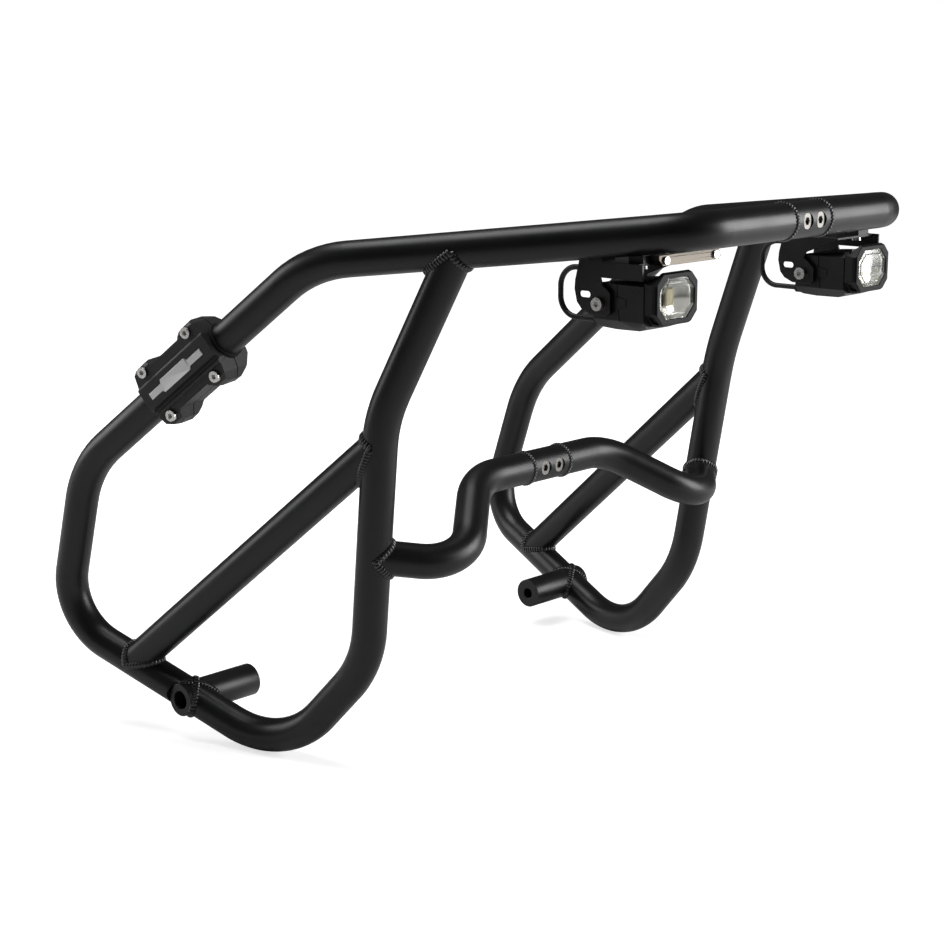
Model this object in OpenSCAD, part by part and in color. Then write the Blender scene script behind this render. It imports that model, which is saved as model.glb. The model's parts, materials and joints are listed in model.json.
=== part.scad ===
// Motorcycle crash bars: two mirrored welded tube frames, joined at two middle couplers,
// with a slider pad on the right outer slope and an auxiliary lamp under each top rail.
// Units are millimetres. X runs across the motorcycle, -X is the rider's right, -Y is forward, +Z is up.
// The middle plane is X = 0 and the lowest tube touches Z = 0.

/* [Tubes] */
// Outside diameter of every frame tube
tube_od = 30; // [28:0.5:32]
// Wall thickness of the frame tubes
tube_wall = 3; // [2:0.5:4]
// Room left for the weld between a coped tube end and the tube that carries it
weld_gap = 0.2; // [0.1:0.05:0.4]
// How far the weld beads stand proud of the tubes
weld_h = 2.6; // [1.5:0.1:3.5]
// How far the weld rings of the couplers stand proud
ring_h = 1.6; // [1:0.1:2]

/* [Main loop corners, from the middle plane, the origin and the ground] */
// Front crossbar: distance forward of the origin
crossbar_fwd = 293.9; // [285:0.1:304]
// Front crossbar: height of its axis
crossbar_z = 479.5; // [470:0.5:490]
// Front corner, where the crossbar turns back into the top rail
front_x = 143; // [135:1:150]
// Shoulder corner, where the top rail turns down
shoulder_x = 258.5; // [248:0.5:268]
// Shoulder corner: distance behind the origin
shoulder_y = 4.8; // [0:0.1:14]
// Shoulder corner: height
shoulder_z = 444; // [434:1:454]
// Upper rear corner: half width
rear_x = 303.5; // [294:0.5:313]
// Upper rear corner: distance behind the origin
rear_y = 260.3; // [250:0.1:270]
// Upper rear corner: height
rear_z = 244; // [234:1:254]
// Lower rear corner: half width
heel_x = 299.5; // [290:0.5:309]
// Lower rear corner: distance behind the origin
heel_y = 308.8; // [298:0.1:318]
// Lower rear corner: height
heel_z = 91; // [82:1:100]
// Keel corner, the lowest one: half width
keel_x = 242.5; // [234:0.5:252]
// Keel corner: distance behind the origin
keel_y = 67.8; // [58:0.1:77]
// Keel corner: height where the straight runs would meet
keel_z = -0.1; // [-4:0.1:4]
// Lower front corner: half width
knee_x = 225.5; // [216:0.5:235]
// Lower front corner: distance forward of the origin
knee_fwd = 21.2; // [12:0.1:32]
// Lower front corner: height
knee_z = 99; // [92:1:106]
// Upper front corner: half width
hip_x = 236; // [226:1:246]
// Upper front corner: distance forward of the origin
hip_fwd = 51.7; // [43:0.1:62]
// Upper front corner: height
hip_z = 318; // [308:1:328]

/* [Bends] */
// Centreline radius of the front corner
front_r = 45; // [40:1:60]
// Centreline radius of the shoulder
shoulder_r = 113; // [95:1:120]
// Centreline radius of the upper rear corner
rear_r = 108; // [90:1:115]
// Centreline radius of the lower rear corner
heel_r = 56; // [50:1:60]
// Centreline radius of the keel
keel_r = 89; // [80:1:95]
// Centreline radius of the lower front corner
knee_r = 100; // [85:1:105]
// Centreline radius of the upper front corner
hip_r = 136; // [100:1:140]

/* [Brace and lower crossbar] */
// Brace: foot, measured along the lower run from the heel corner
brace_foot = 87.5; // [82:0.5:95]
// Brace: head, measured up the front leg from the knee corner
brace_head = 199; // [188:1:203]
// Lower crossbar: weld, measured up the front leg from the knee corner
arm_weld = 99.5; // [90:0.5:106]
// Lower crossbar: half width of its outer bend
arm_x = 168; // [160:1:172]
// Lower crossbar: outer bend, distance forward of the origin
arm_fwd = 83.2; // [76:0.1:90]
// Lower crossbar: height of the outer bend
arm_z = 186; // [180:1:192]
// Lower crossbar: half width of its inner bend
yoke_x = 90; // [84:1:96]
// Lower crossbar: straight middle, distance forward of the origin
yoke_fwd = 21.7; // [16:0.1:30]
// Lower crossbar: height of the straight middle
yoke_z = 238.5; // [232:0.5:244]
// Centreline radius of the outer bend of the lower crossbar
arm_r = 47; // [40:1:52]
// Centreline radius of the inner bend of the lower crossbar
yoke_r = 60; // [50:1:64]

/* [Engine mount bosses] */
// Boss axis, measured along the lower run from the heel corner
boss_at = 156.5; // [150:0.5:163]
// Outside diameter of the boss
boss_od = 30; // [28:0.5:32]
// Length of the boss outboard of the tube axis
boss_out = 15; // [13:1:18]
// Length of the boss inboard of the tube axis
boss_in = 68; // [50:1:80]
// Through hole for the engine bolt
boss_bore = 11; // [10:0.5:12]
// Counterbore for the bolt head
boss_cb = 17; // [16:0.5:19]
// Depth of the counterbore
boss_cb_deep = 12; // [8:1:14]

/* [Couplers] */
// Width of the coupler between its two weld rings
coupler_w = 50; // [46:1:56]
// Length of the half lap in which the two halves overlap
lap_w = 38; // [34:1:42]
// Distance between the two coupler screws
screw_gap = 19; // [17:0.5:21]
// Coupler screw: thread diameter
screw_d = 8; // [6:0.5:8]
// Coupler screw: head diameter
screw_head = 13; // [11:0.5:13.5]
// Length of the spigot that plugs into the tube
spigot = 20; // [14:1:26]
// Slip fit between spigot and tube
slip = 0.1; // [0.05:0.05:0.2]

/* [Slider pad] */
// Pad centre, measured down the outer slope from the shoulder corner
pad_at = 164.5; // [155:0.5:175]
// Turn of the pad about the tube
pad_roll = 85; // [75:1:95]
// Length of the pad along the tube
pad_len = 92; // [84:1:100]
// Half width of the pad at its waist
pad_half = 23; // [22:0.5:25]
// Half width of the pad over its screw ears
pad_ear = 31; // [30:0.5:33]
// Height of the outer face above the tube axis
pad_front = 22; // [21:0.5:25]
// Depth of the back half behind the tube axis
pad_back = 20; // [19:0.5:23]
// Screw spacing along the tube
pad_pitch = 63; // [60:0.5:65]
// Screw spacing across the tube
pad_cross = 45; // [44:0.5:46]
// Thickness of the rubber liner between pad and tube
liner = 1.5; // [1:0.25:2]

/* [Lamps] */
// Lamp centre: distance from the middle plane
lamp_x = 140.5; // [134:0.5:147]
// Lamp pivot: distance forward of the origin
lamp_fwd = 224.2; // [216:0.1:234]
// Lamp pivot: height below the rail above it
lamp_drop = 50; // [48:0.5:54]
// Width of the lamp housing
lamp_w = 51; // [46:1:54]
// Width of the front bezel
bezel_w = 53; // [50:1:53]
// Height of the front bezel
bezel_h = 41; // [38:1:43]
// Length of the housing ahead of the pivot
lamp_len = 41; // [38:1:44]
// Depth of the bezel
bezel_d = 13; // [10:1:16]
// Thickness of the bracket sheet
sheet = 2; // [1.5:0.25:3]
// Running gap between lamp and bracket cheek
cheek_gap = 0.5; // [0.3:0.1:1]
// Pivot bolt: thread diameter
pivot_d = 6; // [5:0.5:6]
// Pivot bolt: head diameter
pivot_head = 10.5; // [10:0.5:12]
// Free room round the pivot bolt in its hole
pivot_play = 0.6; // [0.4:0.1:1]
// Diameter of the lamp lead
lead_d = 4.5; // [3.5:0.5:5]

/* [Hidden] */
$fn = 64;
black = [0.09, 0.09, 0.09];
steel = [0.78, 0.78, 0.8];
r_out = tube_od / 2;
r_in = tube_od / 2 - tube_wall;

// Corners of the right half; X is negative there.
c_mid = [0, -crossbar_fwd, crossbar_z];
c_front = [-front_x, -crossbar_fwd, crossbar_z];
c_shoulder = [-shoulder_x, shoulder_y, shoulder_z];
c_rear = [-rear_x, rear_y, rear_z];
c_heel = [-heel_x, heel_y, heel_z];
c_keel = [-keel_x, keel_y, keel_z];
c_knee = [-knee_x, -knee_fwd, knee_z];
c_hip = [-hip_x, -hip_fwd, hip_z];
c_boss = along(c_heel, c_keel, boss_at);
rail_join = 0.6;
c_head = c_front + rail_join * (c_shoulder - c_front);
c_arm = [-arm_x, -arm_fwd, arm_z];
c_yoke = [-yoke_x, -yoke_fwd, yoke_z];
c_low = [0, -yoke_fwd, yoke_z];
c_weld = along(c_knee, c_hip, arm_weld);
c_foot = along(c_heel, c_keel, brace_foot);
c_top = along(c_knee, c_hip, brace_head);

function unit(v) = v / norm(v);
function along(p, q, d) = p + d * unit(q - p);
function turn(a, b, c) = acos(max(-1, min(1, unit(b - a) * unit(c - b))));
function set_back(a, b, c, r) = r * tan(turn(a, b, c) / 2);

// Straight tube between two points; bore 0 gives a solid bar.
module rod(p, q, ro, ri = 0) {
    v = q - p;
    l = norm(v);
    translate(p)
        rotate([0, acos(v[2] / l), atan2(v[1], v[0])])
            difference() {
                cylinder(h = l, r = ro);
                if (ri > 0)
                    translate([0, 0, -1]) cylinder(h = l + 2, r = ri);
            }
}

// Bend that rounds corner b of the path a-b-c.
module bend(a, b, c, r, ro) {
    u = unit(b - a);
    w = unit(c - b);
    t = turn(a, b, c);
    n = unit(w - (u * w) * u);
    s = b - u * set_back(a, b, c, r);
    o = s + r * n;
    z = cross(u, n);
    multmatrix([
        [-n[0], u[0], z[0], o[0]],
        [-n[1], u[1], z[1], o[1]],
        [-n[2], u[2], z[2], o[2]],
        [0, 0, 0, 1]
    ])
        rotate_extrude(angle = t)
            translate([r, 0]) circle(r = ro);
}

// Bent bar through a list of corners, with one bend radius for each inner corner.
// Bends are a hair fatter than the straight runs, so each run ends cleanly inside its bend.
bend_step = 0.05;
bend_lap = 1;

module bent_bar(p, r, ro) {
    n = len(p);
    for (i = [0 : n - 2]) {
        u = unit(p[i + 1] - p[i]);
        a = i == 0 ? p[0] : p[i] + u * (set_back(p[i - 1], p[i], p[i + 1], r[i - 1]) - bend_lap);
        b = i == n - 2 ? p[n - 1] : p[i + 1] - u * (set_back(p[i], p[i + 1], p[i + 2], r[i]) - bend_lap);
        rod(a, b, ro);
    }
    for (i = [1 : 1 : n - 2])
        bend(p[i - 1], p[i], p[i + 1], r[i - 1], ro + bend_step);
}

// Hollow bent tube: the bore runs past both ends
module bent_tube(p, r) {
    n = len(p);
    q = [for (i = [0 : n - 1])
        i == 0 ? p[0] - unit(p[1] - p[0]) : i == n - 1 ? p[i] + unit(p[i] - p[i - 1]) : p[i]];
    difference() {
        bent_bar(p, r, r_out);
        bent_bar(q, r, r_in);
    }
}

module sides(left) {
    if (left) mirror([1, 0, 0]) children();
    else children();
}

// Frame tubes of the right side

module boss_cut() {
    translate([c_boss[0] - boss_out - 20, c_boss[1], c_boss[2]])
        rotate([0, 90, 0]) cylinder(h = boss_out + boss_in + 20, r = boss_od / 2 + weld_gap);
}

module loop(left) {
    color(black) sides(left) difference() {
        bent_tube([c_mid + [-coupler_w / 2, 0, 0], c_front, c_shoulder, c_rear, c_heel, c_boss],
            [front_r, shoulder_r, rear_r, heel_r]);
        boss_cut();
    }
}

module front_leg(left) {
    color(black) sides(left) difference() {
        bent_tube([c_boss, c_keel, c_knee, c_hip, c_head], [keel_r, knee_r, hip_r]);
        boss_cut();
        rod(along(c_head, c_front, 60), along(c_head, c_shoulder, 60), r_out + weld_gap);
    }
}

module brace(left) {
    color(black) sides(left) difference() {
        rod(c_foot, c_top, r_out, r_in);
        rod(along(c_foot, c_heel, 36), along(c_foot, c_keel, 60), r_out + weld_gap);
        rod(along(c_top, c_knee, 60), along(c_top, c_hip, 60), r_out + weld_gap);
    }
}

module lower_bar(left) {
    color(black) sides(left) difference() {
        bent_tube([c_low + [-coupler_w / 2, 0, 0], c_yoke, c_arm, c_weld], [yoke_r, arm_r]);
        rod(along(c_weld, c_knee, 45), along(c_weld, c_hip, 45), r_out + weld_gap);
    }
}

module boss(left) {
    color(black) sides(left)
        translate([c_boss[0] - boss_out, c_boss[1], c_boss[2]])
            rotate([0, 90, 0])
                difference() {
                    cylinder(h = boss_out + boss_in, r = boss_od / 2);
                    translate([0, 0, -1]) cylinder(h = boss_out + boss_in + 2, r = boss_bore / 2);
                    translate([0, 0, -1]) cylinder(h = boss_cb_deep + 1, r = boss_cb / 2);
                }
}

// Weld bead in the corner where the tube j-t meets the carrier a-b
module weld_bead(j, t, a, b) {
    difference() {
        intersection() {
            rod(along(j, t, 1), along(j, t, 70), r_out + weld_h);
            rod(a, b, r_out + weld_h + 0.2);
        }
        rod(along(j, t, -30), along(j, t, 90), r_out + 0.07);
        rod(along(a, b, -40), along(b, a, -40), r_out + 0.07);
    }
}

module weld_beads(left) {
    color(black) sides(left) {
        weld_bead(c_head, c_hip, along(c_head, c_front, 60), along(c_head, c_shoulder, 60));
        weld_bead(c_top, c_foot, along(c_top, c_knee, 60), along(c_top, c_hip, 60));
        weld_bead(c_foot, c_top, along(c_foot, c_heel, 36), along(c_foot, c_keel, 60));
        weld_bead(c_weld, c_arm, along(c_weld, c_knee, 45), along(c_weld, c_hip, 45));
        weld_bead(c_boss, c_heel, c_boss - [boss_out - 2, 0, 0], c_boss + [26, 0, 0]);
        weld_bead(c_boss, c_keel, c_boss - [boss_out - 2, 0, 0], c_boss + [26, 0, 0]);
    }
}

// Ring-shaped beads where the tube ends meet the coupler
module weld_rings(c) {
    color(black)
        for (s = [-1, 1])
            translate(c + [s * coupler_w / 2, 0, 0]) rotate([0, 90, 0])
                difference() {
                    rotate_extrude() translate([r_out + ring_h - 2.2, 0]) circle(r = 2.2, $fn = 24);
                    translate([0, 0, -5]) cylinder(h = 10, r = r_out + 0.03);
                }
}

// Couplers: two half-lapped round connectors with a common pair of screws from the front.
head_h = 4.5;
lap_gap = 0.1;

module screw_holes(c, d) {
    for (s = [-1, 1])
        translate([c[0] + s * screw_gap / 2, c[1] - r_out - 1, c[2]])
            rotate([-90, 0, 0]) {
                cylinder(h = tube_od + 2, r = d / 2);
                cylinder(h = head_h + 2.5, r = screw_head / 2 + 0.3);
            }
}

// side -1 is the right half with its lap at the back, side 1 the left half with its lap in front
module coupler_half(c, side) {
    collar = (coupler_w - lap_w) / 2;
    difference() {
        union() {
            translate(c + [side < 0 ? -coupler_w / 2 : coupler_w / 2 - collar, 0, 0])
                rotate([0, 90, 0]) cylinder(h = collar, r = r_out);
            translate(c + [side < 0 ? -coupler_w / 2 - spigot : coupler_w / 2, 0, 0])
                rotate([0, 90, 0]) cylinder(h = spigot, r = r_in - slip);
            intersection() {
                translate(c + [-lap_w / 2 + (side < 0 ? 0 : lap_gap), 0, 0])
                    rotate([0, 90, 0]) cylinder(h = lap_w - lap_gap, r = r_out);
                translate(c + [-coupler_w, side < 0 ? lap_gap / 2 : -tube_od - lap_gap / 2, -tube_od])
                    cube([2 * coupler_w, tube_od, 2 * tube_od]);
            }
        }
        screw_holes(c, side < 0 ? screw_d + 0.2 : screw_d + 0.6);
    }
}

module coupler_screws(c) {
    color(steel)
        for (s = [-1, 1])
            translate([c[0] + s * screw_gap / 2, c[1] - r_out + 1.5, c[2]])
                rotate([-90, 0, 0])
                    difference() {
                        union() {
                            cylinder(h = head_h, r = screw_head / 2);
                            cylinder(h = tube_od - 6, r = screw_d / 2);
                        }
                        translate([0, 0, -1]) cylinder(h = head_h - 1, r = screw_d * 0.43, $fn = 6);
                    }
}

// Slider pad, drawn with x along the tube, y across it and z outward.
pad_dir = unit(c_rear - c_shoulder);
pad_e1 = unit(cross(pad_dir, [0, 0, 1]));
pad_e2 = cross(pad_dir, pad_e1);
pad_y = cos(pad_roll) * pad_e1 + sin(pad_roll) * pad_e2;
pad_z = cross(pad_dir, pad_y);
pad_o = along(c_shoulder, c_rear, pad_at);
pad_bore = r_out + liner + 0.1;
ear_r = 8;

module pad_frame() {
    multmatrix([
        [pad_dir[0], pad_y[0], pad_z[0], pad_o[0]],
        [pad_dir[1], pad_y[1], pad_z[1], pad_o[1]],
        [pad_dir[2], pad_y[2], pad_z[2], pad_o[2]],
        [0, 0, 0, 1]
    ])
        children();
}

// Plan outline with four faceted screw ears
module pad_outline() {
    ex = pad_pitch / 2;
    l = pad_len / 2;
    q = [[l, 0], [l, 12], [l - 4, pad_ear - 6], [ex + 4, pad_ear], [ex - 5, pad_ear - 0.5],
         [ex - 12, pad_half], [0, pad_half]];
    n = len(q);
    polygon(concat(
        q,
        [for (i = [n - 1 : -1 : 0]) [-q[i][0], q[i][1]]],
        [for (i = [0 : n - 1]) [-q[i][0], -q[i][1]]],
        [for (i = [n - 1 : -1 : 0]) [q[i][0], -q[i][1]]]
    ));
}

// Cross-section of the cover, extruded along the tube
module cover_section() {
    f = pad_front;
    e = pad_ear + 1;
    polygon([[-e, 0.5], [-e, 6], [-e + 4, f - 4.5], [-e + 7, f - 2.5], [-14, f - 2], [-12, f],
             [8.5, f], [10, f - 3.5], [12.5, f - 3.5], [13.5, f - 1.5], [16, f - 1.5], [17, f - 3],
             [e - 7, f - 3], [e - 3, f - 6], [e, 6], [e, 0.5]]);
}

module back_section() {
    b = pad_back;
    e = pad_ear + 1;
    polygon([[-e, -0.5], [-e, -5], [-e + 5, -12], [-16, -b], [16, -b], [e - 5, -12], [e, -5], [e, -0.5]]);
}

module plate_outline(grow = 0) {
    g = grow;
    polygon([[-36 - g, -4 - g], [-18 - g, -4 - g], [-16 - g, -7 - g], [18 + g, -7 - g], [20 + g, -4 - g],
             [37 + g, -4 - g], [37 + g, 2 + g], [22 + g, 2 + g], [20 + g, 4.5 + g], [-16 - g, 4.5 + g],
             [-18 - g, 2 + g], [-36 - g, 2 + g]]);
}

module pad_cover() {
    color(black) pad_frame() difference() {
        intersection() {
            linear_extrude(pad_front + 5) pad_outline();
            translate([pad_len, 0, 0]) rotate([90, 0, -90]) linear_extrude(2 * pad_len) mirror([1, 0]) cover_section();
        }
        translate([-pad_len, 0, 0]) rotate([0, 90, 0]) cylinder(h = 2 * pad_len, r = pad_bore);
        translate([0, 0, pad_front - 1.2]) linear_extrude(5) plate_outline(0.3);
        for (x = [-1, 1], y = [-1, 1])
            translate([x * pad_pitch / 2, y * pad_cross / 2, 0]) {
                translate([0, 0, -5]) cylinder(h = 40, r = 2.8);
                translate([0, 0, pad_front - 5]) cylinder(h = 10, r = 5.3);
            }
    }
}

module pad_back() {
    color(black) pad_frame() difference() {
        intersection() {
            translate([0, 0, -pad_back - 5]) linear_extrude(pad_back + 5) pad_outline();
            translate([pad_len, 0, 0]) rotate([90, 0, -90]) linear_extrude(2 * pad_len) mirror([1, 0]) back_section();
        }
        translate([-pad_len, 0, 0]) rotate([0, 90, 0]) cylinder(h = 2 * pad_len, r = pad_bore);
        for (x = [-1, 1], y = [-1, 1])
            translate([x * pad_pitch / 2, y * pad_cross / 2, -8.5]) cylinder(h = 10, r = 2.6);
    }
}

module pad_plate() {
    color(steel) pad_frame() translate([0, 0, pad_front - 1.2]) linear_extrude(1.6) plate_outline();
}

module pad_screws() {
    color(steel) pad_frame()
        for (x = [-1, 1], y = [-1, 1])
            translate([x * pad_pitch / 2, y * pad_cross / 2, -8])
                difference() {
                    union() {
                        cylinder(h = pad_front + 5, r = 2.5);
                        translate([0, 0, pad_front + 3]) cylinder(h = 4.5, r = 4.9);
                    }
                    translate([0, 0, pad_front + 5]) cylinder(h = 4, r = 2.4, $fn = 6);
                }
}

module pad_liner() {
    color([0.03, 0.03, 0.03]) pad_frame()
        translate([-pad_len / 2 - 3, 0, 0]) rotate([0, 90, 0])
            difference() {
                cylinder(h = pad_len + 6, r = r_out + liner);
                translate([0, 0, -1]) cylinder(h = pad_len + 8, r = r_out + 0.05);
            }
}

// Lamps, drawn about the pivot point; y is back, -y is the way the lamp shines.
rail_t = (crossbar_fwd - lamp_fwd) / (crossbar_fwd + shoulder_y);
rail_at = c_front + rail_t * (c_shoulder - c_front);
pivot = [-lamp_x, -lamp_fwd, rail_at[2] - lamp_drop];
roof = lamp_drop - r_out - 2;
cheek_in = lamp_w / 2 + cheek_gap + 1;

module at_lamp(left) {
    sides(left) translate(pivot) children();
}

// Outline of a bracket cheek, x forward and y up from the pivot
module cheek_outer() {
    polygon([[-20, roof], [-24, 17], [-24.5, 10], [-22, 0], [-17.5, -5], [-9, -8.6], [8, -8.6], [11, -6],
             [11, 9], [8, 12], [3, 15], [1, 20.5], [42, 20.5], [42, roof]]);
}

module cheek_inner() {
    polygon([[-20, roof], [-24, 17], [-24.5, 10], [-22, 0], [-17.5, -5], [-9, -8.6], [9, -8.6], [12.5, -6],
             [12.5, 5], [8, 9.5], [2, 14], [4, 18.7], [17, 24], [36, roof - 1.5], [36, roof]]);
}

slot_w = 5;

module cheek_holes() {
    circle(r = pivot_d / 2 + pivot_play / 2);
    translate([-17, 6.5]) circle(r = slot_w / 2);
    translate([-11, 6.5]) circle(r = slot_w / 2);
    translate([-17, 6.5 - slot_w / 2]) square([6, slot_w]);
}

module on_cheek(x) {
    translate([x, 0, 0]) rotate([90, 0, -90]) children();
}

plate_front = 36;
plate_rear = 14;
foot_front = 29;
foot_rear = 4;

// Screws go up through the base plate, inboard of the rail axis, which runs outward towards the back
function foot_x(f) =
    max(-cheek_in + 6, rail_at[0] + lamp_x + 6
        - f * (c_shoulder[0] - c_front[0]) / (c_shoulder[1] - c_front[1]));

module lamp_bracket(left) {
    color(black) at_lamp(left) {
        on_cheek(-cheek_in) linear_extrude(sheet) difference() {
            cheek_outer();
            cheek_holes();
        }
        on_cheek(cheek_in + sheet) linear_extrude(sheet) difference() {
            cheek_inner();
            cheek_holes();
        }
        difference() {
            translate([-cheek_in - sheet, -plate_front, roof - sheet])
                cube([2 * (cheek_in + sheet), plate_front + plate_rear, sheet]);
            for (f = [foot_front, -foot_rear])
                translate([foot_x(f), -f, roof - sheet - 1]) cylinder(h = sheet + 2, r = 2.8);
        }
    }
}

module bracket_foot(left) {
    color(black) sides(left) difference() {
        translate(pivot)
            for (f = [foot_front, -foot_rear])
                translate([foot_x(f) - 8, -f - 7, roof + 0.05]) cube([16, 14, lamp_drop - roof]);
        rod(along(rail_at, c_front, 90), along(rail_at, c_shoulder, 90), r_out + weld_gap);
        translate(pivot)
            for (f = [foot_front, -foot_rear])
                translate([foot_x(f), -f, roof - 1]) cylinder(h = 3.5, r = 2.6);
    }
}

module bracket_screws(left) {
    color(steel) at_lamp(left)
        for (f = [foot_front, -foot_rear])
            translate([foot_x(f), -f, roof - sheet - 3]) {
                cylinder(h = 3 - 0.05, r = 4.2);
                cylinder(h = sheet + 5, r = 2.5);
            }
}

// Chamfered front view of a lamp part
module octagon(w, h, c) {
    polygon([[-w / 2 + c, -h / 2], [w / 2 - c, -h / 2], [w / 2, -h / 2 + c], [w / 2, h / 2 - c],
             [w / 2 - c, h / 2], [-w / 2 + c, h / 2], [-w / 2, h / 2 - c], [-w / 2, -h / 2 + c]]);
}

// Front view of the housing
module housing_front() {
    polygon([[-lamp_w / 2, -12], [-lamp_w / 2 + 8.5, -20.5], [lamp_w / 2 - 8.5, -20.5], [lamp_w / 2, -12],
             [lamp_w / 2, 16], [lamp_w / 2 - 5.5, 20.6], [-lamp_w / 2 + 5.5, 20.6], [-lamp_w / 2, 16]]);
}

// Seam of the rear cover's clip, seen from the side
module clip_seam() {
    polygon([[15, 19], [15.8, 19], [15.8, 7.1], [24.6, 5.5], [24.6, -1.5], [17.3, -3.6], [18.5, -14.5],
             [17.7, -14.5], [16.4, -3], [23.8, -0.9], [23.8, 4.8], [15, 6.4]]);
}

// Side view of the housing, x forward and y up from the pivot
module housing_side() {
    polygon([[-8, 10], [-4, 16], [8, 18], [lamp_len, 20.5], [lamp_len, -16.5], [32, -19.5], [9, -20], [-4, -19],
             [-8, -17]]);
}

bezel_z = 6.5;

module lamp_housing(left) {
    color(black) at_lamp(left) difference() {
        union() {
            intersection() {
                on_cheek(lamp_w / 2) linear_extrude(lamp_w) housing_side();
                translate([0, 10, 0]) rotate([90, 0, 0]) linear_extrude(lamp_len + 20)
                    housing_front();
            }
            // pivot ears
            for (s = [-1, 1])
                translate([s * (lamp_w / 2 + 1) - (s > 0 ? 1.5 : 0), 0, 0]) rotate([0, 90, 0]) cylinder(h = 1.5, r = 8);
        }
        for (s = [-1, 1])
            translate([s * (lamp_w / 2 + 1) - 6, 0, 0]) rotate([0, 90, 0]) cylinder(h = 12, r = pivot_d / 2 + 0.1);
        for (s = [-1, 1])
            on_cheek(s * (lamp_w / 2 - 0.6) + (s > 0 ? 1.6 : 0)) linear_extrude(1.6) clip_seam();
        // lamp chamber behind the bezel
        translate([0, -lamp_len + 12, bezel_z - 1.5]) rotate([90, 0, 0]) linear_extrude(20) octagon(bezel_w - 13, 26, 7);
    }
}

// Side view of the bezel, which rises and flares out from the housing
module bezel_side() {
    l = lamp_len + 0.05;
    polygon([[l, 19.6], [l + 1.5, 20.6], [l + 10.5, 27], [l + bezel_d, 25.4], [l + bezel_d, -12.6],
             [l + bezel_d - 1.5, -14], [l + 3, -15.6], [l, -15.4]]);
}

module bezel_top() {
    w = bezel_w / 2;
    l = lamp_len + 0.05;
    polygon([[-w + 1.6, l], [-w, l + 9], [-w, l + bezel_d - 1.5], [-w + 1.2, l + bezel_d],
             [w - 1.2, l + bezel_d], [w, l + bezel_d - 1.5], [w, l + 9], [w - 1.6, l]]);
}

module lamp_bezel(left) {
    color(black) at_lamp(left) difference() {
        intersection() {
            translate([0, -lamp_len + 1, bezel_z]) rotate([90, 0, 0]) linear_extrude(bezel_d + 5)
                octagon(bezel_w, bezel_h + 4, 12);
            on_cheek(bezel_w / 2 + 2) linear_extrude(bezel_w + 4) bezel_side();
            translate([0, 0, -30]) linear_extrude(80) mirror([0, 1]) bezel_top();
        }
        translate([0, -lamp_len + 1, bezel_z]) rotate([90, 0, 0]) linear_extrude(bezel_d + 5)
            octagon(bezel_w - 9, bezel_h - 9, 9.5);
        // shallow pockets in the four slanted corners
        for (x = [-1, 1], z = [-1, 1])
            translate([x * bezel_w / 2 - x * 6, -lamp_len - 6.2, bezel_z + z * (bezel_h / 2 - 4)])
                rotate([0, -45 * x * z, 0]) cube([3.6, 6, 9], center = true);
    }
}

module lamp_reflector(left) {
    color(steel) at_lamp(left) translate([0, -lamp_len - 0.2, bezel_z]) rotate([90, 0, 0])
        difference() {
            linear_extrude(bezel_d - 4) octagon(bezel_w - 9.4, bezel_h - 9.4, 9.3);
            translate([0, 0, 26.2]) sphere(r = 25);
        }
}

module lamp_lens(left) {
    color([0.85, 0.88, 0.9, 0.5]) at_lamp(left) translate([0, -lamp_len - bezel_d + 3.5, bezel_z]) rotate([90, 0, 0])
        {
            linear_extrude(2.5) octagon(bezel_w - 9.4, bezel_h - 9.4, 9.3);
            linear_extrude(3.1) octagon(bezel_w - 17, bezel_h - 17, 7.5);
        }
}

module pivot_bolts(left) {
    color(steel) at_lamp(left)
        for (s = [-1, 1])
            mirror([s > 0 ? 1 : 0, 0, 0])
                translate([-cheek_in - sheet - 0.3, 0, 0]) rotate([0, 90, 0]) difference() {
                    union() {
                        cylinder(h = sheet + 5, r = pivot_d / 2);
                        translate([0, 0, -3]) cylinder(h = 3, r = pivot_head / 2);
                    }
                    translate([0, 0, -4]) cylinder(h = 3, r = pivot_d * 0.4, $fn = 6);
                }
}

lead_x = -12;

module lamp_gland(left) {
    color(black) at_lamp(left)
        translate([left ? -lead_x : lead_x, 8.05, -15]) rotate([-90, 0, 0])
            difference() {
                cylinder(h = 7, r = lead_d / 2 + 1.8);
                translate([0, 0, 1]) cylinder(h = 10, r = lead_d / 2 + 0.05);
            }
}

module lamp_lead(left) {
    r = 16;
    x = left ? -lead_x : lead_x;
    color([0.02, 0.02, 0.02]) at_lamp(left)
        bent_bar([[x, 9.15, -15], [x, 52.5, -15], [x, 52.5, 24], [x, 26, 25]], [r, r], lead_d / 2);
}

// Polished stay bar in front of the right bracket's front foot
stay_l = 80;
stay_d = 8;
stay_h = 8.3;
stay_at = pivot + [-11.5, -plate_front - 0.5 - stay_d, roof - 2.4];

module stay_bar() {
    color(steel) translate(stay_at) difference() {
        translate([0, stay_d, 0]) rotate([90, 0, 0]) linear_extrude(stay_d)
            polygon([[5, 0], [stay_l - 3, 0], [stay_l, 2.5], [stay_l - 3, stay_h], [0, stay_h], [0, 5]]);
        for (x = [8, stay_l - 8])
            translate([x, -1, stay_h / 2]) rotate([-90, 0, 0]) cylinder(h = stay_d + 2, r = 2.1);
    }
}

module stay_screw() {
    color(steel) translate(stay_at) for (x = [8, stay_l - 8])
        translate([x, -2, stay_h / 2]) rotate([-90, 0, 0]) {
            cylinder(h = 1.95, r = 3.2);
            cylinder(h = stay_d + 2.3, r = 2);
        }
}

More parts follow.
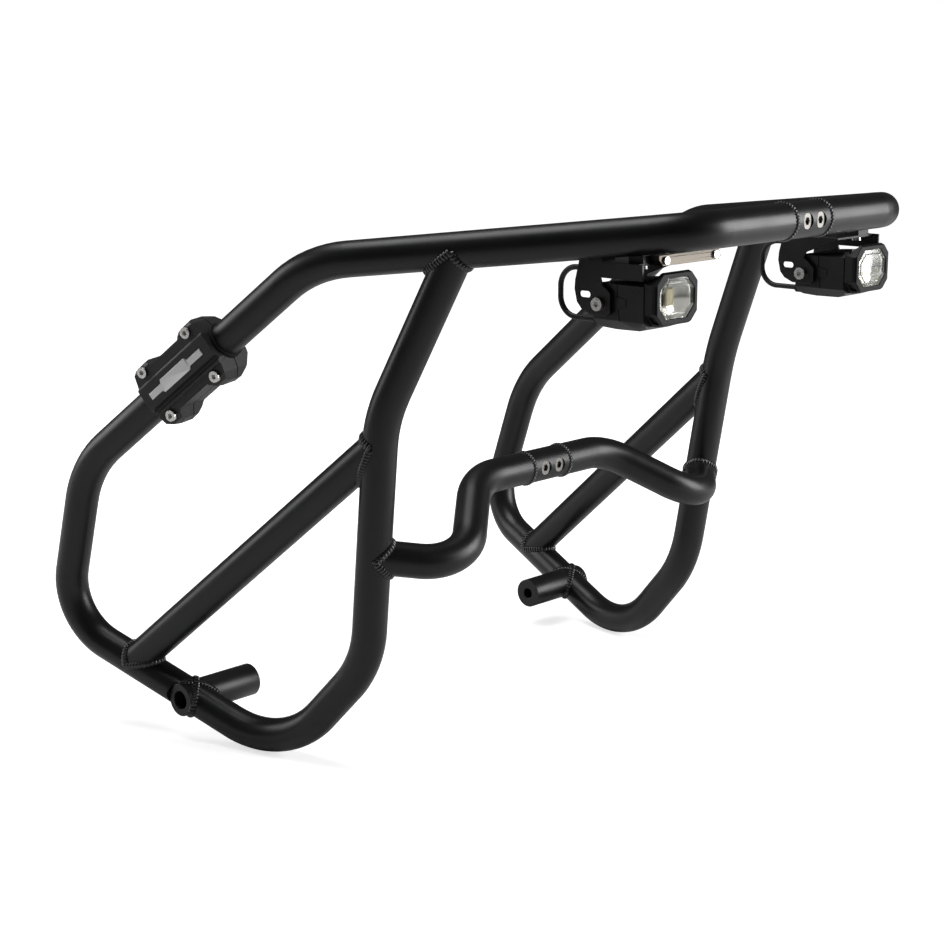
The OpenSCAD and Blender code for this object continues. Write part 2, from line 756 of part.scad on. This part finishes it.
loop(false);  // loop_right
loop(true);  // loop_left
front_leg(false);  // front_leg_right
front_leg(true);  // front_leg_left
brace(false);  // brace_right
brace(true);  // brace_left
lower_bar(false);  // lower_bar_right
lower_bar(true);  // lower_bar_left
boss(false);  // boss_right
boss(true);  // boss_left
color(black) coupler_half(c_mid, -1);  // upper_coupler_right
color(black) coupler_half(c_mid, 1);  // upper_coupler_left
color(black) coupler_half(c_low, -1);  // lower_coupler_right
color(black) coupler_half(c_low, 1);  // lower_coupler_left
coupler_screws(c_mid);  // upper_coupler_screws
coupler_screws(c_low);  // lower_coupler_screws
weld_beads(false);  // weld_beads_right
weld_beads(true);  // weld_beads_left
weld_rings(c_mid);  // upper_weld_rings
weld_rings(c_low);  // lower_weld_rings
pad_cover();
pad_back();
pad_plate();
pad_screws();
pad_liner();
lamp_bracket(false);  // lamp_bracket_right
lamp_bracket(true);  // lamp_bracket_left
bracket_foot(false);  // bracket_foot_right
bracket_foot(true);  // bracket_foot_left
bracket_screws(false);  // bracket_screws_right
bracket_screws(true);  // bracket_screws_left
stay_bar();
stay_screw();
lamp_housing(false);  // lamp_housing_right
lamp_housing(true);  // lamp_housing_left
lamp_bezel(false);  // lamp_bezel_right
lamp_bezel(true);  // lamp_bezel_left
lamp_reflector(false);  // lamp_reflector_right
lamp_reflector(true);  // lamp_reflector_left
lamp_lens(false);  // lamp_lens_right
lamp_lens(true);  // lamp_lens_left
pivot_bolts(false);  // pivot_bolts_right
pivot_bolts(true);  // pivot_bolts_left
lamp_gland(false);  // lamp_gland_right
lamp_gland(true);  // lamp_gland_left
lamp_lead(false);  // lamp_lead_right
lamp_lead(true);  // lamp_lead_left
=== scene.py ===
"""Looks of the motorcycle crash bars: powder-coated tubes, scaled weld beads, slider pad and two lamps."""
import json
import math

import bmesh
import bpy
from mathutils import Matrix, Vector


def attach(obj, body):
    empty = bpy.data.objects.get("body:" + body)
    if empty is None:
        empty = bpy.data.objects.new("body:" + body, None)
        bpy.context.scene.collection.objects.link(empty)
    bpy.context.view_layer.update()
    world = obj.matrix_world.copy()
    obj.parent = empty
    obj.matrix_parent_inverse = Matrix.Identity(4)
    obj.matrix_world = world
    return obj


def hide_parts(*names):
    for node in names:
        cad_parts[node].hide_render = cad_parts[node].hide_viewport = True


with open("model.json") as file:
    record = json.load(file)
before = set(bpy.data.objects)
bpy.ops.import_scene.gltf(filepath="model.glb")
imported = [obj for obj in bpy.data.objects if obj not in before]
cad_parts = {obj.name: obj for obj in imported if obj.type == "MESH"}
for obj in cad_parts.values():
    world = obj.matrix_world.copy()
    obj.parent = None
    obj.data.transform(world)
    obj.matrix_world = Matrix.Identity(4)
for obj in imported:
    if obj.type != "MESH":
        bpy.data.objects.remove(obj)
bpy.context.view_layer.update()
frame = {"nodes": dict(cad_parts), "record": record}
nodes = frame["nodes"]


# Materials

def new_material(name):
    mat = bpy.data.materials.new(name)
    mat.use_nodes = True
    tree = mat.node_tree
    return mat, tree, tree.nodes["Principled BSDF"]


def object_noise(tree, scale, detail=4.0, stretch=(1, 1, 1), turn=(0, 0, 0), rough=0.55):
    coords = tree.nodes.new("ShaderNodeTexCoord")
    mapping = tree.nodes.new("ShaderNodeMapping")
    mapping.inputs["Scale"].default_value = stretch
    mapping.inputs["Rotation"].default_value = turn
    noise = tree.nodes.new("ShaderNodeTexNoise")
    noise.inputs["Scale"].default_value = scale
    noise.inputs["Detail"].default_value = detail
    noise.inputs["Roughness"].default_value = rough
    tree.links.new(coords.outputs["Object"], mapping.inputs["Vector"])
    tree.links.new(mapping.outputs["Vector"], noise.inputs["Vector"])
    return noise.outputs["Fac"]


def ramp(tree, fac, low, high, start=0.3, end=0.7):
    node = tree.nodes.new("ShaderNodeMapRange")
    node.inputs["From Min"].default_value = start
    node.inputs["From Max"].default_value = end
    node.inputs["To Min"].default_value = low
    node.inputs["To Max"].default_value = high
    tree.links.new(fac, node.inputs["Value"])
    return node.outputs["Result"]


def colour_mix(tree, fac, dark, light):
    node = tree.nodes.new("ShaderNodeMix")
    node.data_type = "RGBA"
    node.inputs[6].default_value = (*dark, 1)
    node.inputs[7].default_value = (*light, 1)
    tree.links.new(fac, node.inputs[0])
    return node.outputs[2]


def bump(tree, shader, fac, height, strength=1.0, under=None):
    node = tree.nodes.new("ShaderNodeBump")
    node.inputs["Distance"].default_value = height
    node.inputs["Strength"].default_value = strength
    tree.links.new(fac, node.inputs["Height"])
    if under is not None:
        tree.links.new(under, node.inputs["Normal"])
    tree.links.new(node.outputs["Normal"], shader.inputs["Normal"])
    return node.outputs["Normal"]


def coated(name, dark, light, rough, spread, level, grain, height):
    """Black coating: slow change of tone and gloss, and a fine orange-peel skin."""
    mat, tree, shader = new_material(name)
    slow = object_noise(tree, 22.0, 3.0)
    fine = object_noise(tree, grain, 2.0)
    tree.links.new(colour_mix(tree, slow, dark, light), shader.inputs["Base Color"])
    tree.links.new(ramp(tree, slow, rough - spread, rough + spread), shader.inputs["Roughness"])
    shader.inputs["Specular IOR Level"].default_value = level
    bump(tree, shader, fine, height)
    return mat


def bare_metal(name, dark, light, rough, spread, scale, stretch=(1, 1, 1), turn=(0, 0, 0), height=0.00001):
    mat, tree, shader = new_material(name)
    lines = object_noise(tree, scale, 5.0, stretch, turn)
    shader.inputs["Metallic"].default_value = 1.0
    tree.links.new(colour_mix(tree, lines, dark, light), shader.inputs["Base Color"])
    tree.links.new(ramp(tree, lines, rough - spread, rough + spread), shader.inputs["Roughness"])
    bump(tree, shader, lines, height)
    return mat


tube_coat = coated(
    "tube_powder_coat", (0.0045, 0.0045, 0.0048), (0.0075, 0.0075, 0.0079), 0.36, 0.04, 0.36, 900, 0.00004)
weld_coat = coated(
    "weld_powder_coat", (0.009, 0.009, 0.0094), (0.017, 0.017, 0.0176), 0.3, 0.06, 0.62, 700, 0.00008)
bracket_coat = coated(
    "bracket_coat", (0.0045, 0.0045, 0.0048), (0.0075, 0.0075, 0.0078), 0.34, 0.05, 0.36, 1100, 0.00003)
lamp_coat = coated(
    "lamp_coat", (0.0045, 0.0045, 0.0048), (0.0075, 0.0075, 0.0078), 0.34, 0.05, 0.38, 1300, 0.00003)
bezel_coat = coated(
    "bezel_coat", (0.006, 0.006, 0.0063), (0.0095, 0.0095, 0.0099), 0.42, 0.05, 0.12, 1300, 0.00003)
pad_skin = coated(
    "pad_moulded_skin", (0.014, 0.014, 0.0145), (0.021, 0.021, 0.022), 0.5, 0.05, 0.4, 1500, 0.0001)
black_rubber = coated(
    "black_rubber", (0.008, 0.008, 0.008), (0.012, 0.012, 0.012), 0.7, 0.06, 0.3, 1200, 0.00008)
lead_skin = coated("lead_skin", (0.006, 0.006, 0.006), (0.01, 0.01, 0.01), 0.45, 0.05, 0.4, 1500, 0.00004)
screw_zinc = bare_metal("screw_zinc", (0.55, 0.54, 0.52), (0.88, 0.87, 0.85), 0.27, 0.08, 700)
# The softbox is mirrored in these from the photo's view, so their base colours are lower than bare metal's
coupler_zinc = bare_metal("coupler_zinc", (0.12, 0.115, 0.11), (0.26, 0.25, 0.235), 0.42, 0.06, 700)
bar_polish = bare_metal("bar_polish", (0.07, 0.061, 0.05), (0.19, 0.172, 0.148), 0.4, 0.06, 160, (0.15, 1, 1))
dish_mirror = bare_metal("dish_mirror", (0.34, 0.33, 0.3), (0.52, 0.5, 0.45), 0.22, 0.06, 300)

# The pad lies along the outer slope; its grain and brush lines follow the tube
slope = (Vector((-0.3035, 0.2603, 0.244)) - Vector((-0.2585, 0.0048, 0.444))).normalized()
side = slope.cross(Vector((0, 0, 1))).normalized()
up = slope.cross(side)
roll = math.radians(85)
across = math.cos(roll) * side + math.sin(roll) * up
out = slope.cross(across)
pad_turn = Matrix((slope, across, out)).to_euler()
plate_brush = bare_metal(
    "plate_brush", (0.5, 0.5, 0.5), (0.78, 0.78, 0.78), 0.34, 0.07, 1500, (0.03, 1, 1), tuple(pad_turn), 0.00002)


def clear_lens():
    mat, tree, shader = new_material("clear_lens")
    haze = object_noise(tree, 60, 3.0)
    tree.links.new(colour_mix(tree, haze, (0.93, 0.95, 0.95), (0.98, 0.99, 0.99)), shader.inputs["Base Color"])
    shader.inputs["Transmission Weight"].default_value = 1.0
    shader.inputs["IOR"].default_value = 1.46
    tree.links.new(ramp(tree, haze, 0.02, 0.07), shader.inputs["Roughness"])
    return mat


def chip_colour_with_painted_highlight():
    mat, tree, shader = new_material("lamp_chip_with_painted_highlight")
    dots = object_noise(tree, 900, 2.0)
    # Yellow of the LED phosphor, partly the chip's own colour and partly a painted warm highlight
    tree.links.new(colour_mix(tree, dots, (0.62, 0.52, 0.3), (0.8, 0.72, 0.5)), shader.inputs["Base Color"])
    shader.inputs["Roughness"].default_value = 0.55
    bump(tree, shader, dots, 0.00005)
    return mat


lens_glass = clear_lens()
chip_yellow_and_painted_highlight = chip_colour_with_painted_highlight()

FINISH = {
    "powder_black": tube_coat, "bracket_black": bracket_coat, "zinc_screw": screw_zinc, "pad_plastic": pad_skin,
    "bright_plate": plate_brush, "rubber": black_rubber, "polished_bar": bar_polish, "lamp_black": lamp_coat,
    "reflector": dish_mirror, "lens": lens_glass, "cable": lead_skin,
}
slot_of = {part["node"]: part["material_slot"] for part in frame["record"]["subparts"]}
for name, node in nodes.items():
    finish = FINISH[slot_of[name]]
    if name.startswith("lamp_bezel"):
        finish = bezel_coat
    if "coupler_screws" in name:
        finish = coupler_zinc
    node.data.materials.clear()
    node.data.materials.append(finish)

# Small rounded edges on the moulded, cast and cut pieces
EDGE = {
    "pad_cover": 0.0007, "pad_back": 0.0007, "pad_plate": 0.0003, "lamp_bezel": 0.0005, "lamp_housing": 0.0006,
    "lamp_bracket": 0.0003, "bracket_foot": 0.0005, "stay_bar": 0.0005, "boss": 0.0006,
    "upper_coupler_screws": 0.0005, "lower_coupler_screws": 0.0005, "pad_screws": 0.0004,
    "pivot_bolts": 0.0008, "lamp_lens": 0.0003,
}
for name, node in nodes.items():
    width = next((w for start, w in EDGE.items() if name.startswith(start)), None)
    if width is None:
        continue
    weld = node.modifiers.new("join_corners", "WELD")
    weld.merge_threshold = 0.00001
    bevel = node.modifiers.new("soft_edges", "BEVEL")
    bevel.width = width
    bevel.segments = 2
    bevel.limit_method = "ANGLE"
    bevel.angle_limit = math.radians(32)
    bevel.harden_normals = False
    bevel.use_clamp_overlap = True


# Pieces

def add_piece(name, bm, material, body, smooth=True):
    mesh = bpy.data.meshes.new(name)
    bmesh.ops.recalc_face_normals(bm, faces=bm.faces)
    for face in bm.faces:
        face.smooth = smooth
    bm.to_mesh(mesh)
    bm.free()
    mesh.materials.append(material)
    obj = bpy.data.objects.new(name, mesh)
    bpy.context.scene.collection.objects.link(obj)
    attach(obj, body)
    return obj


TUBE = 0.015
# One scale of a weld: its step along the bead, half width, height and how far it leans back
SCALE_STEP, SCALE_WIDE, SCALE_HIGH = 0.0031, 0.0037, 0.0027
RING_STEP, RING_WIDE, RING_HIGH = 0.0028, 0.0027, 0.0019
SCALE_LEAN = math.radians(-38)
SCALE_OVERLAP = 0.62
BEAD_LIFT, RING_SINK = 0.0004, -0.0004
COUPLER_HALF = 0.025
BOSS_REACH = 0.0125


def saddle(joint, along, carrier, lift, turns=120):
    """Line where a tube leaving the joint meets a carrier of the same size, lifted off both by the same amount."""
    e1 = along.orthogonal().normalized()
    e2 = along.cross(e1)
    radius = TUBE + lift
    c = along.dot(carrier)
    line = []
    for k in range(turns):
        angle = 2 * math.pi * k / turns
        ray = math.cos(angle) * e1 + math.sin(angle) * e2
        d = radius * ray.dot(carrier)
        reach = d / (1 - c) if d > 0 else -d / (1 + c)
        line.append((joint + along * reach + ray * radius, ray))
    return line


def ring(centre, axis, lift, turns=120):
    e1 = axis.orthogonal().normalized()
    e2 = axis.cross(e1)
    return [(centre + (TUBE + lift) * (math.cos(a) * e1 + math.sin(a) * e2), math.cos(a) * e1 + math.sin(a) * e2)
            for a in [2 * math.pi * k / turns for k in range(turns)]]


def lay_bead(whole, line, outward, pitch, wide, high, keep=None):
    """Overlapping scales along a closed line, each a leaning lens, as a hand-fed weld leaves them."""
    bm = bmesh.new()
    points = [p for p, _ in line]
    count = len(points)
    gone = 0.0
    for k in range(count):
        here, after = points[k], points[(k + 1) % count]
        step = (after - here).length
        while gone < step:
            place = here.lerp(after, gone / step)
            tangent = (after - here).normalized()
            normal = outward(place, line[k][1])
            normal = (normal - normal.dot(tangent) * tangent).normalized()
            gone += pitch
            if keep is not None and not keep(place):
                continue
            frame_of = Matrix((tangent, tangent.cross(normal) * -1, normal)).transposed().to_4x4()
            lean = Matrix.Rotation(SCALE_LEAN, 4, "Y")
            size = Matrix.Diagonal((pitch * SCALE_OVERLAP, wide, high, 1))
            bmesh.ops.create_uvsphere(
                bm, u_segments=10, v_segments=7, radius=1.0,
                matrix=Matrix.Translation(place) @ frame_of @ lean @ size)
        gone -= step
    laid = bpy.data.meshes.new("laid_bead")
    bm.to_mesh(laid)
    bm.free()
    whole.from_mesh(laid)
    bpy.data.meshes.remove(laid)


def point(x, y, z):
    return Vector((x, y, z)) / 1000


FRONT, SHOULDER = point(-143, -293.9, 479.5), point(-258.5, 4.8, 444)
HEEL, KEEL = point(-299.5, 308.8, 91), point(-242.5, 67.8, -0.1)
KNEE, HIP = point(-225.5, -21.2, 99), point(-236, -51.7, 318)
HEAD = FRONT.lerp(SHOULDER, 0.6)
RUN = (KEEL - HEEL).normalized()
LEG = (HIP - KNEE).normalized()
BOSS = HEEL + RUN * 0.1565
FOOT = HEEL + RUN * 0.0875
BRACE_TOP = KNEE + LEG * 0.199
ARM_WELD = KNEE + LEG * 0.0995
ARM = point(-168, -83.2, 186)


def corner_normal(joint, carrier):
    def find(place, ray):
        rel = place - joint
        off = rel - rel.dot(carrier) * carrier
        return (off.normalized() + ray).normalized()
    return find


# Joint, direction of the tube that ends there, direction of the tube that carries it, and where its bead stops
JOINTS = [
    (HEAD, (HIP - HEAD).normalized(), (SHOULDER - FRONT).normalized(), None),
    (BRACE_TOP, (FOOT - BRACE_TOP).normalized(), LEG, None),
    (FOOT, (BRACE_TOP - FOOT).normalized(), RUN, None),
    (ARM_WELD, (ARM - ARM_WELD).normalized(), LEG, None),
    (BOSS, -RUN, Vector((1, 0, 0)), BOSS.x - BOSS_REACH),
    (BOSS, RUN, Vector((1, 0, 0)), BOSS.x - BOSS_REACH),
]
for left in (False, True):
    flip = Matrix.Diagonal((-1 if left else 1, 1, 1))
    bm = bmesh.new()
    for joint, along, carrier, edge in JOINTS:
        line = [(flip @ p, flip @ r) for p, r in saddle(joint, along, carrier, BEAD_LIFT)]
        keep = None if edge is None else (lambda p, e=edge: abs(p.x) < abs(e))
        outward = corner_normal(flip @ joint, flip @ carrier)
        lay_bead(bm, line, outward, SCALE_STEP, SCALE_WIDE, SCALE_HIGH, keep)
    name = "left" if left else "right"
    beads = add_piece(f"scaled_beads_{name}", bm, weld_coat, "frame")
    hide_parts(f"weld_beads_{name}")

for name, centre in (("upper", point(0, -293.9, 479.5)), ("lower", point(0, -21.7, 238.5))):
    bm = bmesh.new()
    for x in (-COUPLER_HALF, COUPLER_HALF):
        line = ring(centre + Vector((x, 0, 0)), Vector((1, 0, 0)), RING_SINK)
        lay_bead(bm, line, lambda p, ray: ray, RING_STEP, RING_WIDE, RING_HIGH)
    rings = add_piece(f"{name}_scaled_rings", bm, weld_coat, "frame")
    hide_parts(f"{name}_weld_rings")

# LED chip in the middle of each dish, forward of and above the lamp's pivot. Its yellow is partly the phosphor's
# own colour and partly a painted warm highlight, and its tall shape follows that highlight.
PIVOT_OUT, PIVOT_FRONT, PIVOT_HEIGHT = 140.5, -224.2, 421.216
CHIP_FORWARD, CHIP_RISE = 44.2, 6.5
CHIP_SIZE = (0.009, 0.0022, 0.013, 1)
for sign, name in ((-1, "right"), (1, "left")):
    bm = bmesh.new()
    centre = point(sign * PIVOT_OUT, PIVOT_FRONT - CHIP_FORWARD, PIVOT_HEIGHT + CHIP_RISE)
    bmesh.ops.create_cube(bm, size=1.0, matrix=Matrix.Translation(centre) @ Matrix.Diagonal(CHIP_SIZE))
    bmesh.ops.bevel(
        bm, geom=list(bm.edges), offset=0.0006, segments=2, profile=0.5, affect="EDGES", material=-1)
    front = min(bm.faces, key=lambda f: f.calc_center_median().y)
    bmesh.ops.inset_region(bm, faces=[front], thickness=0.0012, depth=-0.0003)
    add_piece(f"led_chip_with_painted_highlight_{name}", bm, chip_yellow_and_painted_highlight, f"lamp_{name}", smooth=False)

# Floor, lights and camera

def stage_floor():
    bm = bmesh.new()
    bmesh.ops.create_grid(bm, x_segments=1, y_segments=1, size=12)
    mesh = bpy.data.meshes.new("studio_floor")
    bm.to_mesh(mesh)
    bm.free()
    floor = bpy.data.objects.new("studio_floor", mesh)
    bpy.context.scene.collection.objects.link(floor)
    mat, tree, shader = new_material("pale_floor")
    shader.inputs["Base Color"].default_value = (0.9, 0.9, 0.9, 1)
    shader.inputs["Roughness"].default_value = 0.9
    shader.inputs["Specular IOR Level"].default_value = 0.1
    path = tree.nodes.new("ShaderNodeLightPath")
    coords = tree.nodes.new("ShaderNodeTexCoord")
    away = tree.nodes.new("ShaderNodeVectorMath")
    away.operation = "LENGTH"
    tree.links.new(coords.outputs["Object"], away.inputs[0])
    glow = tree.nodes.new("ShaderNodeMapRange")
    glow.inputs["From Min"].default_value = 0.35
    glow.inputs["From Max"].default_value = 1.1
    glow.inputs["To Min"].default_value = 0.68
    glow.inputs["To Max"].default_value = 1.0
    tree.links.new(away.outputs["Value"], glow.inputs["Value"])
    seen = tree.nodes.new("ShaderNodeMath")
    seen.operation = "MULTIPLY"
    tree.links.new(path.outputs["Is Camera Ray"], seen.inputs[0])
    tree.links.new(glow.outputs["Result"], seen.inputs[1])
    shader.inputs["Emission Color"].default_value = (1, 1, 1, 1)
    tree.links.new(seen.outputs[0], shader.inputs["Emission Strength"])
    mesh.materials.append(mat)


stage_floor()


def area_light(name, place, aim, width, height, power):
    data = bpy.data.lights.new(name, "AREA")
    data.shape = "RECTANGLE"
    data.size = width
    data.size_y = height
    data.energy = power
    light = bpy.data.objects.new(name, data)
    light.location = place
    light.rotation_euler = (Vector(aim) - Vector(place)).to_track_quat("-Z", "Y").to_euler()
    bpy.context.scene.collection.objects.link(light)


area_light("top_softbox", (-0.3, 0.5, 2.2), (0, 0, 0.25), 1.2, 1.2, 24)
area_light("front_right_softbox", (1.55, -1.75, 0.85), (0, 0, 0.35), 1.2, 1.4, 52)
area_light("rear_left_softbox", (-1.2, 2.2, 1.0), (0, 0, 0.28), 1.2, 1.5, 20)

world = bpy.data.worlds.new("white_studio")
bpy.context.scene.world = world
world.use_nodes = True
tree = world.node_tree
back = tree.nodes["Background"]
path = tree.nodes.new("ShaderNodeLightPath")
highest = tree.nodes.new("ShaderNodeMath")
highest.operation = "MAXIMUM"
tree.links.new(path.outputs["Is Camera Ray"], highest.inputs[0])
tree.links.new(path.outputs["Is Transmission Ray"], highest.inputs[1])
strength = tree.nodes.new("ShaderNodeMapRange")
strength.inputs["To Min"].default_value = 0.06
strength.inputs["To Max"].default_value = 1.0
tree.links.new(highest.outputs[0], strength.inputs["Value"])
back.inputs["Color"].default_value = (1, 1, 1, 1)
tree.links.new(strength.outputs["Result"], back.inputs["Strength"])

camera_data = bpy.data.cameras.new("photo_view")
camera = bpy.data.objects.new("photo_view", camera_data)
bpy.context.scene.collection.objects.link(camera)
yaw, pitch = 0.8287688, 0.2130235
CAMERA_PLACE = (-1.3385, -1.1696, 0.6174)
ahead = Vector((math.sin(yaw) * math.cos(pitch), math.cos(yaw) * math.cos(pitch), -math.sin(pitch)))
right = Vector((math.cos(yaw), -math.sin(yaw), 0))
camera.matrix_world = Matrix.Translation(CAMERA_PLACE) @ Matrix(
    (right, right.cross(ahead), -ahead)).transposed().to_4x4()
camera_data.sensor_width = 36
camera_data.lens = 74.382
camera_data.shift_x = -0.005821
camera_data.shift_y = -0.006396
camera_data.clip_end = 100
bpy.context.scene.camera = camera
bpy.context.scene.view_settings.view_transform = "Standard"
